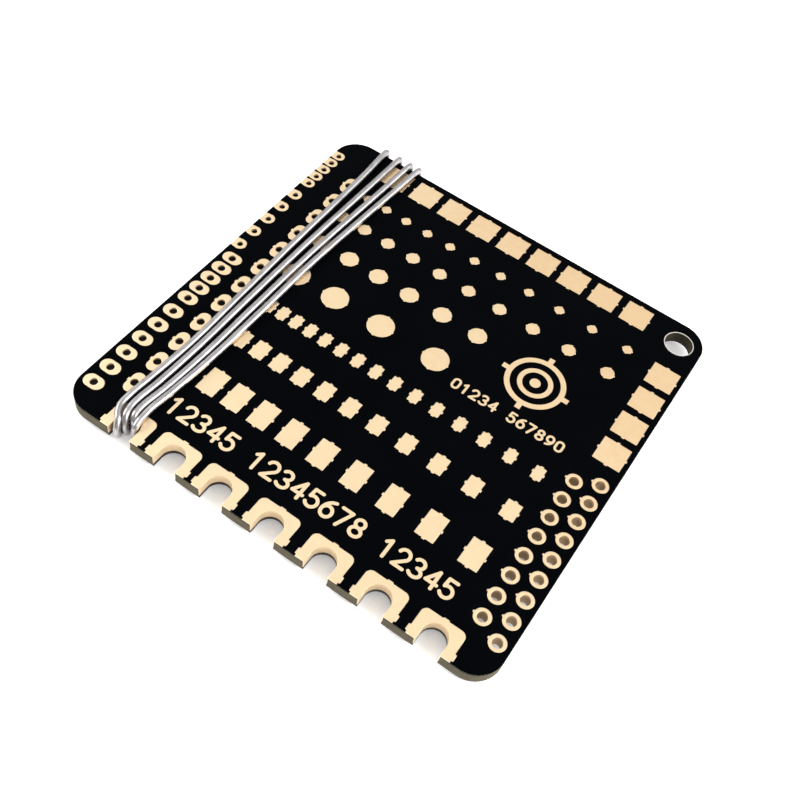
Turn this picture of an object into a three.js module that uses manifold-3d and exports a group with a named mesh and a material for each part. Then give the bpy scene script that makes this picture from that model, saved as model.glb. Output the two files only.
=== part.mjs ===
// Soldering practice board: a square two-sided circuit board with rows of bare gold pads, plated
// eyelets and plated half-slots, and four turns of solder wire wound round its left-hand side.
// Units are millimetres. The board's own frame has x along its front edge from the left, y from the
// front edge to the back and z up from its underside. The exported group moves that frame so that
// its origin is the middle of the footprint, on the surface that the wound board lies on.
import * as THREE from "three";
import { mergeVertices } from "three/addons/utils/BufferGeometryUtils.js";
import Module from "manifold-3d";

const wasm = await Module();
wasm.setup();

// Board blank and its layers
const SIDE = 49.2;
const THICKNESS = 1.6;
const CORNER_RADIUS = 3;
const LAND_THICKNESS = 0.05; // copper and gold of a pad, from the laminate up to the face
const MASK_THICKNESS = 0.03; // the mask lies over the copper, so it is thinner than a land
const MASK_GAP = 0.03; // from a land to the edge of its mask opening
const PLATING = 0.06; // wall of a plated barrel
const BARREL_GAP = 0.02; // from a barrel to the drilled laminate
const WINDOW_MARGIN = 0.68; // from a column's middle to the edge of its window in the bottom mask
const MOUNTING_HOLE = { x: 46.5, y: 46.3, radius: 1.6, maskRadius: 1.7 };

// Square pads along the back and right edges
const SQUARE_PAD = 3.1;
const SQUARE_PITCH = 4.064;
const BACK_SQUARES = { x: 8.36, y: 46.81, count: 9 };
const RIGHT_SQUARES = { x: 47.04, y: 40.72, count: 4 };

// Rows of round pads and of chip pads: each starts at the right, and each step leftwards is the
// one before it times the ratio.
const ROUND_ROWS = [
  { name: "round_pads_small", diameter: 1.1, x: 42.25, y: 41.75, step: 4.451, ratio: 0.943, count: 11 },
  { name: "round_pads_medium", diameter: 1.55, x: 41.94, y: 37.45, step: 4.814, ratio: 0.945, count: 10 },
  { name: "round_pads_large", diameter: 2.1, x: 28.32, y: 32.66, step: 4.545, ratio: 0.954, count: 6 },
  { name: "round_pads_largest", diameter: 3.05, x: 26.43, y: 27.07, step: 6.99, ratio: 0.861, count: 4 },
];
const CHIP_ROWS = [
  { name: "chip_pads_small", width: 1.1, depth: 1.65, x: 42.1, y: 21.74, step: 3.25, ratio: 0.95, count: 15 },
  { name: "chip_pads_medium", width: 1.6, depth: 2.15, x: 42, y: 16.4, step: 4.3, ratio: 0.938, count: 11 },
  { name: "chip_pads_large", width: 2.1, depth: 3.1, x: 41.66, y: 10.3, step: 4.82, ratio: 0.938, count: 9 },
];

// Two staggered columns of header eyelets at the right
const HEADER_PITCH = 2.54;
const HEADER_LAND_RADIUS = 0.875;
const HEADER_HOLE_RADIUS = 0.53;
const HEADER_OUTER = { x: 47.8, y: 24.43, count: 9 };
const HEADER_INNER = { x: 45.43, y: 23.2, count: 8 };

// Small eyelets whose lands run out to the left edge, in a close group and a wide group
const EDGE_HOLE = { x: 0.78, radius: 0.34 };
const EDGE_LAND_REACH = 0.75; // from the hole's middle to the land's right end
const EDGE_GROUPS = [
  { y: 45.33, pitch: 1.515, count: 5, halfDepth: 0.67 },
  { y: 36.72, pitch: 2.53, count: 5, halfDepth: 0.75 },
];

// Oval eyelets with lands along x, in a close group and a wide group
const OVAL_HOLE = { x: 1.5, radius: 0.42 };
const OVAL_LAND_WIDTH = 2.45;
const OVAL_GROUPS = [
  { y: 24.36, pitch: 1.83, count: 5, landDepth: 1.45 },
  { y: 14.73, pitch: 2.335, count: 6, landDepth: 1.55 },
];

// Column of oval eyelets with lands along y, tied together under the mask
const INNER_OVALS = { x: 4.58, y: 42.15, pitch: 3.345, count: 12 };
const INNER_OVAL_HOLE_RADIUS = 0.43;
const INNER_OVAL_LAND = { width: 1.4, depth: 2.58 };
const INNER_TRACE = { left: 0.48, right: 0.66 }; // from the column's middle, clear of the barrels

// Plated half-slots in the front edge
const NOTCH_CENTRES = [7.45, 13.05, 18.65, 24.72, 30.8, 36.88, 42.96];
const NOTCH_RADIUS = 1.33;
const NOTCH_ARC_Y = 1.22;
const NOTCH_LAND = { width: 4.65, depth: 3.17, corner: 0.6 };

// Solder wire. Each turn comes up over the back edge at x = back, runs forward along the face,
// drops through the first notch and returns underneath. Face and underside points are [x, y], and
// dip points are [x, y, height above the face].
const WIRE_RADIUS = 0.375;
const WIRE_STANDOFF = 0.43; // from a board face to the wire's middle
const WIRE_TURNS = [
  {
    back: 4.9,
    face: [[5.14, 44.7], [5.28, 38.7], [5.43, 29.7], [5.71, 19.8], [5.87, 12.8], [5.63, 6.8], [5.47, 3.9]],
    dip: [[5.55, 2.6, 0.43], [5.95, 1.7, 0.45], [6.45, 1.1, 0.3]],
    notch: [6.75, 0.5],
    rise: [[6.5, 0.8, -0.32], [6.15, 1.6, -0.43], [5.95, 2.8, -0.43]],
    underside: [[5.95, 4], [6.3, 26]],
  },
  {
    back: 6.8,
    face: [[6.78, 44.7], [6.69, 38.7], [6.59, 29.7], [6.66, 19.8], [6.76, 12.8], [6.63, 6.8], [6.43, 3.9]],
    dip: [[6.5, 2.8, 0.43], [6.75, 1.9, 0.36]],
    notch: [7.05, 1.3],
    rise: [[7.0, 1.5, -0.32], [6.85, 2.3, -0.43]],
    underside: [[6.75, 4], [7.5, 26]],
  },
  {
    back: 8.38,
    face: [[8.26, 44.7], [8.05, 38.7], [7.78, 29.7], [7.78, 19.8], [7.82, 12.8], [7.6, 6.8], [7.32, 3.9]],
    dip: [[7.34, 2.9, 0.43], [7.45, 2.4, 0.41], [7.62, 2.02, 0.0]],
    notch: [7.65, 1.93],
    rise: [[7.66, 2.1, -0.22], [7.68, 2.6, -0.43]],
    underside: [[7.6, 4], [8.5, 26]],
  },
  {
    back: 9.62,
    face: [[9.42, 44.7], [9.13, 38.7], [8.75, 29.7], [8.74, 19.8], [8.7, 12.8], [8.37, 6.8], [8.13, 3.9]],
    dip: [[8.17, 2.9, 0.43], [8.22, 2.1, 0.43], [8.27, 1.5, 0.12]],
    notch: [8.2, 1.35],
    rise: [[8.3, 1.35, -0.25], [8.4, 2.0, -0.43]],
    underside: [[8.5, 4], [9.6, 8.2], [13.5, 13], [26, 19.6], [40.6, 26]],
  },
];
const WIRE_START = [4.25, 41]; // the hidden tail under the board, ahead of the first turn
const NOTCH_DROP = [0.7, 0.25]; // shares of the thickness where the wire passes down a notch

// Facets
const CORNER_STEPS = 6;
const CAPSULE_STEPS = 3; // along each round end
const SMALL_SIDES = 6;
const ROUND_SIDES = 8;
const LARGE_SIDES = 12;
const LARGE_FROM = 2; // a round pad of this diameter or more has LARGE_SIDES
const HOLE_SIDES = 16;
const WIRE_SIDES = 8;

const CUT_MARGIN = 1; // a cutter's reach past each face of the plate that it opens
const LAMINATE_TOP = THICKNESS - LAND_THICKNESS;
const MASK_BOTTOM = THICKNESS - MASK_THICKNESS;

// Finishes
const finish = (color, roughness, metalness) => () =>
  new THREE.MeshStandardMaterial({ color, roughness, metalness });
const GOLD = finish(0xeed8b4, 0.35, 0.9);
const BLACK_MASK = finish(0x07090c, 0.4, 0.0);
const LAMINATE = finish(0x6e6955, 0.75, 0.0);
const SOLDER = finish(0xd0cdca, 0.3, 1.0);

// Plane outlines, as lists of points that run anticlockwise

function arc(x, y, radiusX, radiusY, from, to, steps) {
  const points = [];
  for (let i = 0; i <= steps; i++) {
    const angle = from + ((to - from) * i) / steps;
    points.push(new THREE.Vector2(x + radiusX * Math.cos(angle), y + radiusY * Math.sin(angle)));
  }
  return points;
}

function circle(x, y, radius, sides) {
  return arc(x, y, radius, radius, 0, 2 * Math.PI, sides).slice(0, sides);
}

function rectangle(x, y, width, depth) {
  return [[-1, -1], [1, -1], [1, 1], [-1, 1]].map(
    ([across, along]) => new THREE.Vector2(x + (across * width) / 2, y + (along * depth) / 2),
  );
}

// A capsule whose round ends point along its longer side.
function capsule(x, y, width, depth) {
  const radius = Math.min(width, depth) / 2;
  const reachX = width / 2 - radius;
  const reachY = depth / 2 - radius;
  const turn = reachX > 0 ? -Math.PI / 2 : 0;
  return [
    ...arc(x + reachX, y + reachY, radius, radius, turn, turn + Math.PI, CAPSULE_STEPS),
    ...arc(x - reachX, y - reachY, radius, radius, turn + Math.PI, turn + 2 * Math.PI, CAPSULE_STEPS),
  ];
}

// An edge land from the bottom of the left edge round to its top, grown by a margin.
function edgeLand(y, halfDepth, margin) {
  const atEdge = halfDepth - 0.1 + margin;
  return [
    new THREE.Vector2(0, y - atEdge),
    ...arc(EDGE_HOLE.x, y, EDGE_LAND_REACH + margin, halfDepth + margin, -Math.PI / 2, Math.PI / 2, 5),
    new THREE.Vector2(0, y + atEdge),
  ];
}

// The round-ended slot of a notch from its left end at the front edge to its right end.
function notchSlot(x, radius) {
  return [
    new THREE.Vector2(x - radius, 0),
    ...arc(x, NOTCH_ARC_Y, radius, radius, Math.PI, 0, CORNER_STEPS),
    new THREE.Vector2(x + radius, 0),
  ];
}

// A notch's land, grown by a margin, from its left end at the front edge to its right end.
function notchLand(x, margin) {
  const half = NOTCH_LAND.width / 2 + margin;
  const back = NOTCH_LAND.depth + margin - NOTCH_LAND.corner;
  const reach = half - NOTCH_LAND.corner;
  const corner = (middle, from, to) => arc(middle, back, NOTCH_LAND.corner, NOTCH_LAND.corner, from, to, 2);
  return [
    new THREE.Vector2(x - half, 0),
    ...corner(x - reach, Math.PI, Math.PI / 2),
    ...corner(x + reach, Math.PI / 2, 0),
    new THREE.Vector2(x + half, 0),
  ];
}

// The board's outline with a cut for each notch and, where edgeCuts is given, for each edge land.
function boardOutline(notchCut, edgeCuts) {
  const far = SIDE - CORNER_RADIUS;
  const corner = (x, y, from) =>
    arc(x, y, CORNER_RADIUS, CORNER_RADIUS, from, from + Math.PI / 2, CORNER_STEPS);
  return [
    ...corner(CORNER_RADIUS, CORNER_RADIUS, Math.PI),
    ...NOTCH_CENTRES.flatMap(notchCut),
    ...corner(far, CORNER_RADIUS, -Math.PI / 2),
    ...corner(far, far, 0),
    ...corner(CORNER_RADIUS, far, Math.PI / 2),
    ...(edgeCuts ?? []),
  ];
}

// Solids

function prism(outline, bottom, top) {
  const shape = new THREE.Shape(outline);
  const geometry = new THREE.ExtrudeGeometry(shape, { depth: top - bottom, bevelEnabled: false });
  return geometry.translate(0, 0, bottom);
}

function toSolid(geometry) {
  const bare = geometry.clone();
  bare.deleteAttribute("normal");
  bare.deleteAttribute("uv");
  const merged = mergeVertices(bare);
  return new wasm.Manifold(
    new wasm.Mesh({
      numProp: 3,
      vertProperties: merged.attributes.position.array,
      triVerts: new Uint32Array(merged.index.array),
    }),
  );
}

function toGeometry(solid) {
  const mesh = solid.getMesh();
  const geometry = new THREE.BufferGeometry();
  geometry.setAttribute("position", new THREE.BufferAttribute(mesh.vertProperties, 3));
  geometry.setIndex(new THREE.BufferAttribute(mesh.triVerts, 1));
  const facets = geometry.toNonIndexed();
  facets.computeVertexNormals();
  return facets;
}

// A plate of the given outline with a straight opening for each of the openings' outlines.
function plate(outline, openings, bottom, top) {
  return openings.reduce(
    (left, opening) => left.subtract(toSolid(prism(opening, bottom - CUT_MARGIN, top + CUT_MARGIN))),
    toSolid(prism(outline, bottom, top)),
  );
}

function union(solids) {
  return solids.reduce((sum, next) => sum.add(next));
}

const board = new THREE.Group();

function addPiece(name, geometry, material) {
  const mesh = new THREE.Mesh(geometry, material());
  mesh.name = name;
  board.add(mesh);
}

// Places along a row or a column

function evenly(start, pitch, count) {
  return Array.from({ length: count }, (_, i) => start - i * pitch);
}

function shrinking({ x, step, ratio, count }) {
  return Array.from({ length: count }, (_, i) => x - (step * (1 - ratio ** i)) / (1 - ratio));
}

// Every plated through hole, as its middle, its finished radius, its facets and its land's outline
// grown by a margin.
const roundEyelets = (column, label) =>
  evenly(column.y, HEADER_PITCH, column.count).map((y, i) => ({
    name: `${label}_${i + 1}`,
    x: column.x,
    y,
    radius: HEADER_HOLE_RADIUS,
    sides: ROUND_SIDES,
    land: (margin) => circle(column.x, y, HEADER_LAND_RADIUS + margin, ROUND_SIDES),
  }));
const headerEyelets = [
  ...roundEyelets(HEADER_OUTER, "header_outer_eyelet"),
  ...roundEyelets(HEADER_INNER, "header_inner_eyelet"),
];
const edgeEyelets = EDGE_GROUPS.flatMap(({ y, pitch, count, halfDepth }) =>
  evenly(y, pitch, count).map((middle) => ({
    x: EDGE_HOLE.x,
    y: middle,
    radius: EDGE_HOLE.radius,
    sides: SMALL_SIDES,
    land: (margin) => edgeLand(middle, halfDepth, margin),
  })),
).map((eyelet, i) => ({ ...eyelet, name: `edge_eyelet_${i + 1}` }));
const ovalEyelets = OVAL_GROUPS.flatMap(({ y, pitch, count, landDepth }) =>
  evenly(y, pitch, count).map((middle) => ({
    x: OVAL_HOLE.x,
    y: middle,
    radius: OVAL_HOLE.radius,
    sides: SMALL_SIDES,
    land: (margin) => capsule(OVAL_HOLE.x, middle, OVAL_LAND_WIDTH + 2 * margin, landDepth + 2 * margin),
  })),
).map((eyelet, i) => ({ ...eyelet, name: `oval_eyelet_${i + 1}` }));
const innerEyelets = evenly(INNER_OVALS.y, INNER_OVALS.pitch, INNER_OVALS.count).map((y) => ({
  x: INNER_OVALS.x,
  y,
  radius: INNER_OVAL_HOLE_RADIUS,
  sides: SMALL_SIDES,
  land: (margin) =>
    capsule(INNER_OVALS.x, y, INNER_OVAL_LAND.width + 2 * margin, INNER_OVAL_LAND.depth + 2 * margin),
}));
const eyelets = [...headerEyelets, ...edgeEyelets, ...ovalEyelets, ...innerEyelets];

// Every row of bare pads, as the outlines of its lands grown by a margin, and the band of the copper
// pour under the mask that they all stand on.
const padRows = [
  {
    name: "square_pads_back",
    lands: (margin) =>
      evenly(BACK_SQUARES.x, -SQUARE_PITCH, BACK_SQUARES.count).map((x) =>
        rectangle(x, BACK_SQUARES.y, SQUARE_PAD + 2 * margin, SQUARE_PAD + 2 * margin),
      ),
    band: rectangle(
      BACK_SQUARES.x + (SQUARE_PITCH * (BACK_SQUARES.count - 1)) / 2,
      BACK_SQUARES.y,
      SQUARE_PITCH * (BACK_SQUARES.count - 1) + SQUARE_PAD,
      SQUARE_PAD,
    ),
  },
  {
    name: "square_pads_right",
    lands: (margin) =>
      evenly(RIGHT_SQUARES.y, SQUARE_PITCH, RIGHT_SQUARES.count).map((y) =>
        rectangle(RIGHT_SQUARES.x, y, SQUARE_PAD + 2 * margin, SQUARE_PAD + 2 * margin),
      ),
    band: rectangle(
      RIGHT_SQUARES.x,
      RIGHT_SQUARES.y - (SQUARE_PITCH * (RIGHT_SQUARES.count - 1)) / 2,
      SQUARE_PAD,
      SQUARE_PITCH * (RIGHT_SQUARES.count - 1) + SQUARE_PAD,
    ),
  },
  ...ROUND_ROWS.map((row) => ({
    name: row.name,
    lands: (margin) =>
      shrinking(row).map((x) =>
        circle(x, row.y, row.diameter / 2 + margin, row.diameter < LARGE_FROM ? ROUND_SIDES : LARGE_SIDES),
      ),
    band: rowBand(row, row.diameter, row.diameter),
  })),
  ...CHIP_ROWS.map((row) => ({
    name: row.name,
    lands: (margin) =>
      shrinking(row).map((x) => rectangle(x, row.y, row.width + 2 * margin, row.depth + 2 * margin)),
    band: rowBand(row, row.width, row.depth),
  })),
];

function rowBand(row, width, depth) {
  const places = shrinking(row);
  const left = places[places.length - 1];
  return rectangle((row.x + left) / 2, row.y, row.x - left + width, depth);
}

// Laminate core: cut out with its notches, drilled for each barrel and for the mounting hole.
const drilled = eyelets.map(({ x, y, radius, sides }) => circle(x, y, radius + PLATING + BARREL_GAP, sides));
const bareSlot = (x) => notchSlot(x, NOTCH_RADIUS + PLATING + BARREL_GAP);
const mountingHole = (radius) => circle(MOUNTING_HOLE.x, MOUNTING_HOLE.y, radius, HOLE_SIDES);
addPiece(
  "fr4_core",
  toGeometry(
    plate(
      boardOutline(bareSlot),
      [...drilled, mountingHole(MOUNTING_HOLE.radius)],
      MASK_THICKNESS,
      LAMINATE_TOP,
    ),
  ),
  LAMINATE,
);

// Solder masks. The top one is open round every land, and the bottom one has a window along each
// column of barrels.
const eyeletColumns = [
  { ...HEADER_OUTER, pitch: HEADER_PITCH },
  { ...HEADER_INNER, pitch: HEADER_PITCH },
  INNER_OVALS,
  ...EDGE_GROUPS.map((group) => ({ x: EDGE_HOLE.x, ...group })),
  ...OVAL_GROUPS.map((group) => ({ x: OVAL_HOLE.x, ...group })),
];
const columnWindows = eyeletColumns.map(({ x, y, pitch, count }) => {
  const length = pitch * (count - 1);
  return rectangle(x, y - length / 2, 2 * WINDOW_MARGIN, length + 2 * WINDOW_MARGIN);
});
addPiece(
  "solder_mask_top",
  toGeometry(
    plate(
      boardOutline(
        (x) => notchLand(x, MASK_GAP),
        edgeEyelets.flatMap(({ land }) => land(MASK_GAP).reverse()),
      ),
      [
        ...[...headerEyelets, ...ovalEyelets, ...innerEyelets].map(({ land }) => land(MASK_GAP)),
        ...padRows.flatMap(({ lands }) => lands(MASK_GAP)),
        mountingHole(MOUNTING_HOLE.maskRadius),
      ],
      MASK_BOTTOM,
      THICKNESS,
    ),
  ),
  BLACK_MASK,
);
addPiece(
  "solder_mask_bottom",
  toGeometry(
    plate(
      boardOutline(bareSlot),
      [...columnWindows, mountingHole(MOUNTING_HOLE.maskRadius)],
      0,
      MASK_THICKNESS,
    ),
  ),
  BLACK_MASK,
);

// Plated eyelets: a barrel through the board and a land on the face.
function eyeletSolid({ x, y, radius, sides, land }) {
  const blank = toSolid(prism(circle(x, y, radius + PLATING, sides), 0, LAMINATE_TOP));
  const flanged = blank.add(toSolid(prism(land(0), LAMINATE_TOP, THICKNESS)));
  const bore = prism(circle(x, y, radius, sides), -CUT_MARGIN, THICKNESS + CUT_MARGIN);
  return flanged.subtract(toSolid(bore));
}
for (const eyelet of [...headerEyelets, ...edgeEyelets, ...ovalEyelets]) {
  addPiece(eyelet.name, toGeometry(eyeletSolid(eyelet)), GOLD);
}
const innerLength = INNER_OVALS.pitch * (INNER_OVALS.count - 1);
const innerTrace = rectangle(
  INNER_OVALS.x + (INNER_TRACE.left + INNER_TRACE.right) / 2,
  INNER_OVALS.y - innerLength / 2,
  INNER_TRACE.right - INNER_TRACE.left,
  innerLength,
);
addPiece(
  "inner_oval_eyelets",
  toGeometry(
    union([...innerEyelets.map(eyeletSolid), toSolid(prism(innerTrace, LAMINATE_TOP, MASK_BOTTOM))]),
  ),
  GOLD,
);

// Rows of bare pads, each row standing on its band of copper under the mask.
for (const { name, lands, band } of padRows) {
  const pads = lands(0).map((outline) => prism(outline, LAMINATE_TOP, THICKNESS));
  addPiece(name, toGeometry(union([...pads, prism(band, LAMINATE_TOP, MASK_BOTTOM)].map(toSolid))), GOLD);
}

// Plated notches: a lining round the slot's wall and a land on the face, both cut off at the edge.
NOTCH_CENTRES.forEach((x, i) => {
  const slot = notchSlot(x, NOTCH_RADIUS).reverse();
  const lining = [...notchSlot(x, NOTCH_RADIUS + PLATING), ...slot].reverse();
  const land = [...notchLand(x, 0), ...slot].reverse();
  addPiece(
    `plated_notch_${i + 1}`,
    toGeometry(union([prism(lining, 0, LAMINATE_TOP), prism(land, LAMINATE_TOP, THICKNESS)].map(toSolid))),
    GOLD,
  );
});

// Solder wire: one length, from its hidden tail round the four turns to its other hidden tail.
class WireRoute extends THREE.CatmullRomCurve3 {
  // One step of the swept tube for each stretch between points, so that bends get their share.
  getPointAt(share, target) {
    return this.getPoint(share, target);
  }
  getTangentAt(share, target) {
    return this.getTangent(share, target);
  }
}

function wirePoints() {
  const points = [new THREE.Vector3(...WIRE_START, -WIRE_STANDOFF)];
  const quarter = [0, Math.PI / 4, Math.PI / 2];
  for (const { back, face, dip, notch, rise, underside } of WIRE_TURNS) {
    for (const angle of quarter) {
      const y = SIDE + WIRE_STANDOFF * Math.sin(angle);
      points.push(new THREE.Vector3(back, y, -WIRE_STANDOFF * Math.cos(angle)));
    }
    for (const angle of quarter) {
      const y = SIDE + WIRE_STANDOFF * Math.cos(angle);
      points.push(new THREE.Vector3(back, y, THICKNESS + WIRE_STANDOFF * Math.sin(angle)));
    }
    face.forEach(([x, y]) => points.push(new THREE.Vector3(x, y, THICKNESS + WIRE_STANDOFF)));
    dip.forEach(([x, y, z]) => points.push(new THREE.Vector3(x, y, THICKNESS + z)));
    NOTCH_DROP.forEach((share) => points.push(new THREE.Vector3(...notch, THICKNESS * share)));
    rise.forEach(([x, y, z]) => points.push(new THREE.Vector3(x, y, z)));
    underside.forEach(([x, y]) => points.push(new THREE.Vector3(x, y, -WIRE_STANDOFF)));
  }
  return points;
}

const route = wirePoints();
addPiece(
  "solder_wire",
  new THREE.ExtrudeGeometry(new THREE.Shape(circle(0, 0, WIRE_RADIUS, WIRE_SIDES)), {
    extrudePath: new WireRoute(route, false, "centripetal"),
    steps: route.length - 1,
    bevelEnabled: false,
  }),
  SOLDER,
);

// The origin: the middle of the footprint, at the height that the wire lies on.
const bounds = new THREE.Box3().setFromObject(board, true);
const middle = bounds.getCenter(new THREE.Vector3());
board.position.set(-middle.x, -middle.y, -bounds.min.z);
const part = new THREE.Group();
part.add(board);

export default part;
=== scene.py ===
# Soldering practice board: a black two-sided circuit board with rows of bare gold pads, plated eyelets
# and plated half-slots, with a length of solder wire wound round its left-hand side.
import math
import random

import bpy
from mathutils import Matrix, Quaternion, Vector
from mathutils.geometry import delaunay_2d_cdt


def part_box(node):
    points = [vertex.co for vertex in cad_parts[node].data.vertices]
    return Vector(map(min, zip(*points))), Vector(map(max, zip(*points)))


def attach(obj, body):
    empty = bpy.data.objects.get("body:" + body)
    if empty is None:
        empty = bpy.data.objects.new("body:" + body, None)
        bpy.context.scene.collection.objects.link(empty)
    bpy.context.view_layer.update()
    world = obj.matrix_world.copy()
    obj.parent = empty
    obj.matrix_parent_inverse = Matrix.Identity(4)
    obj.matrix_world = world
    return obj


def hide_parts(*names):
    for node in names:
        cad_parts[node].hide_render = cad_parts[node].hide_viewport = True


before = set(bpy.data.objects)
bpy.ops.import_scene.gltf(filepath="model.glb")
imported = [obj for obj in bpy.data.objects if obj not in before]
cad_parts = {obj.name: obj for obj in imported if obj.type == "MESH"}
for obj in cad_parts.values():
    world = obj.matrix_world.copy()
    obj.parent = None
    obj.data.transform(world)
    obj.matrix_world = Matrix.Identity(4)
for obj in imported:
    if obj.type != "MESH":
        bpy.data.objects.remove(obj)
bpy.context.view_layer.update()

# ---- The table and the light ------------------------------------------------------------------------
# The board lies on a plain white table between two soft boxes, the stronger one on its right. The white
# room is dimmer near its floor and in front of the board, where the camera stands.
# The camera stands over its front right corner and leans to the left.
MM = 0.001
TABLE_SIZE = 1.6
TABLE_WHITE = (0.97, 0.965, 0.96, 1)
TABLE_GLOW = 0.3  # it is lit from below a little, which keeps the shadows pale
ROOM_WHITE = (1.0, 0.995, 0.985, 1)
ROOM_DIM = (0.24, 0.24, 0.245, 1)  # the walls near the floor
ROOM_STRENGTH = 1.0
WALL_STOPS = (0.04, 0.42)  # how high the dim wall ends and the white starts, as the sine of the elevation
FRONT_SHARE = 0.45  # how bright the room is in front, against the back
FRONT_FADE = (-0.8, 0.1)  # where that dimness ends and the full light starts, towards the back
CAMERA_PLACE = Vector((25.85, -60.53, 87.78)) * MM
CAMERA_LOOKS = Vector((-0.2292, 0.5332, -0.8144))
CAMERA_LEAN = math.radians(12.90)
CAMERA_LENS = 46.41
CAMERA_SENSOR = 36

camera_data = bpy.data.cameras.new("camera")
camera_data.lens = CAMERA_LENS
camera_data.sensor_width = CAMERA_SENSOR
camera_data.clip_start = 0.005
camera = bpy.data.objects.new("camera", camera_data)
camera.location = CAMERA_PLACE
camera.rotation_mode = "QUATERNION"
camera.rotation_quaternion = CAMERA_LOOKS.to_track_quat("-Z", "Y") @ Quaternion((0, 0, 1), CAMERA_LEAN)
bpy.context.scene.collection.objects.link(camera)
bpy.context.scene.camera = camera
bpy.context.scene.view_settings.view_transform = "Standard"


def soft_box(name, place, width, depth, power, colour=(1, 1, 1)):
    """A rectangular lamp that faces the middle of the board."""
    lamp = bpy.data.lights.new(name, "AREA")
    lamp.shape = "RECTANGLE"
    lamp.size = width
    lamp.size_y = depth
    lamp.energy = power
    lamp.color = colour
    stand = bpy.data.objects.new(name, lamp)
    stand.location = place
    stand.rotation_mode = "QUATERNION"
    stand.rotation_quaternion = (-Vector(place)).to_track_quat("-Z", "Y")
    bpy.context.scene.collection.objects.link(stand)


soft_box("right_box", (0.50, 0.10, 0.30), 0.60, 0.50, 5.2)
soft_box("left_box", (-0.50, -0.12, 0.30), 0.50, 0.40, 3.2)

room = bpy.data.worlds.new("room")
room.use_nodes = True
room_nodes = room.node_tree.nodes
room_link = room.node_tree.links.new
lit_room = room_nodes["Background"]
room_place = room_nodes.new("ShaderNodeTexCoord")
room_height = room_nodes.new("ShaderNodeSeparateXYZ")
room_wall = room_nodes.new("ShaderNodeValToRGB")
for element, stop, shade in zip(room_wall.color_ramp.elements, WALL_STOPS, (ROOM_DIM, ROOM_WHITE)):
    element.position = stop
    element.color = shade
room_link(room_height.inputs["Vector"], room_place.outputs["Generated"])
room_link(room_wall.inputs["Fac"], room_height.outputs["Z"])
room_link(lit_room.inputs["Color"], room_wall.outputs["Color"])
room_depth = room_nodes.new("ShaderNodeMapRange")
for socket, value in (
    ("From Min", FRONT_FADE[0]),
    ("From Max", FRONT_FADE[1]),
    ("To Min", ROOM_STRENGTH * FRONT_SHARE),
    ("To Max", ROOM_STRENGTH),
):
    room_depth.inputs[socket].default_value = value
room_link(room_depth.inputs["Value"], room_height.outputs["Y"])
room_link(lit_room.inputs["Strength"], room_depth.outputs["Result"])

# Behind the table stands a plain pale backdrop, which gives no light of its own.
backdrop = room_nodes.new("ShaderNodeBackground")
backdrop.inputs["Color"].default_value = ROOM_WHITE
seen = room_nodes.new("ShaderNodeLightPath")
either = room_nodes.new("ShaderNodeMixShader")
room_link(either.inputs[0], seen.outputs["Is Camera Ray"])
room_link(either.inputs[1], lit_room.outputs[0])
room_link(either.inputs[2], backdrop.outputs[0])
room_link(room_nodes["World Output"].inputs["Surface"], either.outputs[0])
bpy.context.scene.world = room

table_mesh = bpy.data.meshes.new("table_top")
half = TABLE_SIZE / 2
table_corners = [(-half, -half, 0), (half, -half, 0), (half, half, 0), (-half, half, 0)]
table_mesh.from_pydata(table_corners, [], [(0, 1, 2, 3)])
table = bpy.data.objects.new("table_top", table_mesh)
table_paint = bpy.data.materials.new("table_white")
table_paint.use_nodes = True
table_shader = table_paint.node_tree.nodes["Principled BSDF"]
table_shader.inputs["Base Color"].default_value = TABLE_WHITE
table_shader.inputs["Roughness"].default_value = 0.9
table_shader.inputs["Specular IOR Level"].default_value = 0.1
table_shader.inputs["Emission Color"].default_value = TABLE_WHITE
table_shader.inputs["Emission Strength"].default_value = TABLE_GLOW
table_mesh.materials.append(table_paint)
bpy.context.scene.collection.objects.link(table)

# ---- Laminate core ----------------------------------------------------------------------------------
# The stiff middle of the board: glass cloth in epoxy, pressed in plies and routed to shape, so that its
# cut edge shows the plies as thin olive-brown lines. Its right side is painted pale with dark speckles: a
# painted highlight.
# Every barrel and the 3.2 mm screw hole is drilled through it. Outlines here are in millimetres from its
# front left corner, and heights from the underside.
corner = Vector((*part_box("fr4_core")[0].xy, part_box("solder_mask_bottom")[0].z))
SIDE = (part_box("fr4_core")[1].x - corner.x) / MM
FACE = (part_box("solder_mask_top")[1].z - corner.z) / MM
CORE_BOTTOM = (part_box("fr4_core")[0].z - corner.z) / MM
CORE_TOP = (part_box("fr4_core")[1].z - corner.z) / MM
CORNER_RADIUS = 3.0
CORNER_STEPS = 20
DRILL_CLEARANCE = 0.08  # from a finished hole out to the drilled laminate: plating and a hair
SCREW_HOLE = (46.5, 46.3)
SCREW_HOLE_RADIUS = 1.6
NOTCH_COUNT = 7
NOTCH_RADIUS = 1.33
NOTCH_ARC_Y = 1.22
ROUND_SHARES = ((0.0, 1.0), (0.29, 0.29), (1.0, 0.0))  # a rounded edge: shares of its radius in and down
SUPPORT = 0.02  # a flat ring inside a rounded edge, which keeps the flat beyond it flat


def node_place(node):
    """Middle of a CAD node in the board's own millimetres, and its low and high corners."""
    low, high = ((end - corner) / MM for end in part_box(node))
    return (low + high) / 2, low, high


def arc(x, y, radius_x, radius_y, start, end, steps):
    turns = [math.radians(start + (end - start) * i / steps) for i in range(steps + 1)]
    return [Vector((x + radius_x * math.cos(t), y + radius_y * math.sin(t))) for t in turns]


def disc(x, y, radius, sides=48):
    return arc(x, y, radius, radius, 0, 360, sides)[:-1]


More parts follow.
